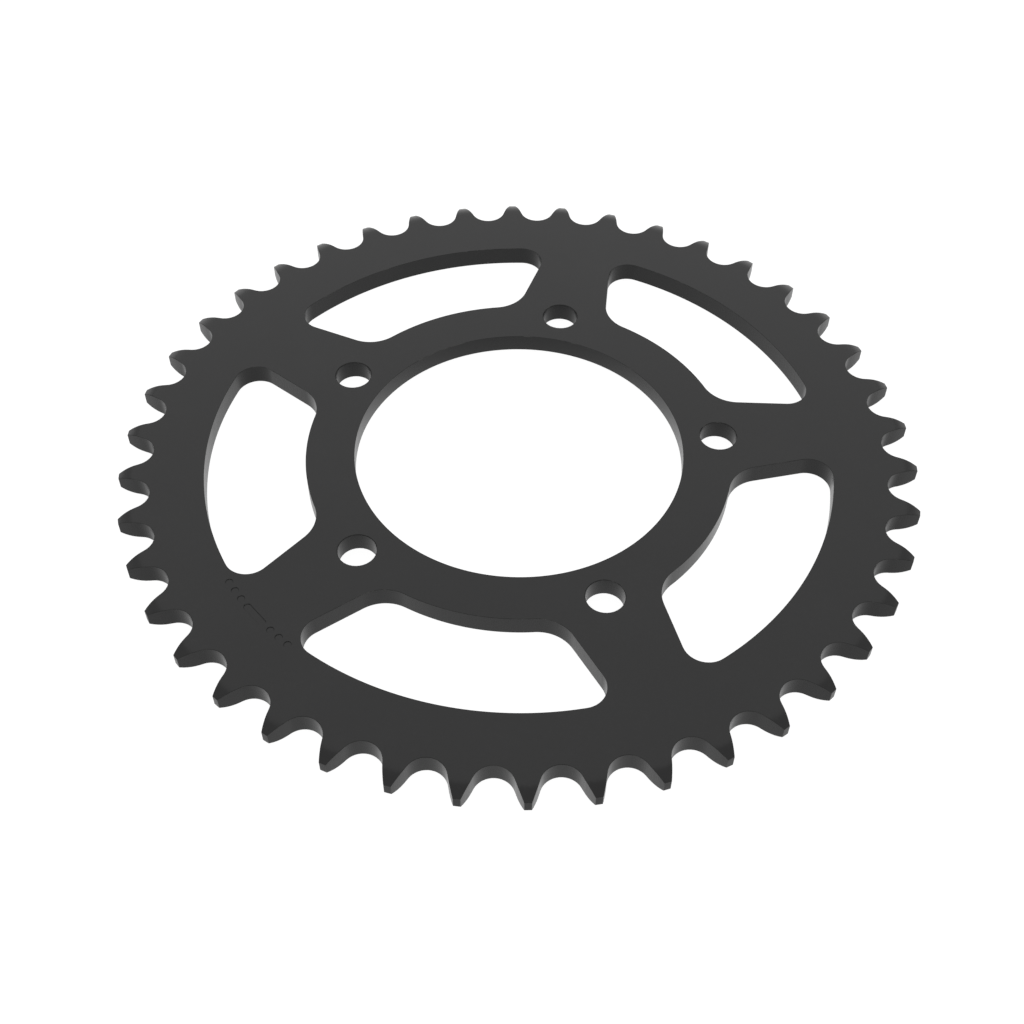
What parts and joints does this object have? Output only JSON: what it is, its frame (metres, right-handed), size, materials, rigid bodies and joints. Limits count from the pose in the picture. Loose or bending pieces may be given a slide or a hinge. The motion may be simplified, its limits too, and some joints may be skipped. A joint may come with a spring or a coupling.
{
  "type": "motorcycle rear sprocket",
  "caption": "Flat steel rear sprocket for a motorcycle's roller chain, with a wide pilot bore, a bolt circle and curved lightening windows between tapered spokes.",
  "frame": {"origin": "on the bore's axis, at the wheel side's face", "axes": "+Z along the bore's axis, away from the wheel, out of the marked outer face; +X through the first bolt hole"},
  "size_m": [0.2198, 0.2194, 0.0058],
  "materials": {
    "black_coating": "satin black coating on blanked and turned steel plate"
  },
  "bodies": {
    "root": {"sprocket_plate": "black_coating"}
  },
  "joints": []
}
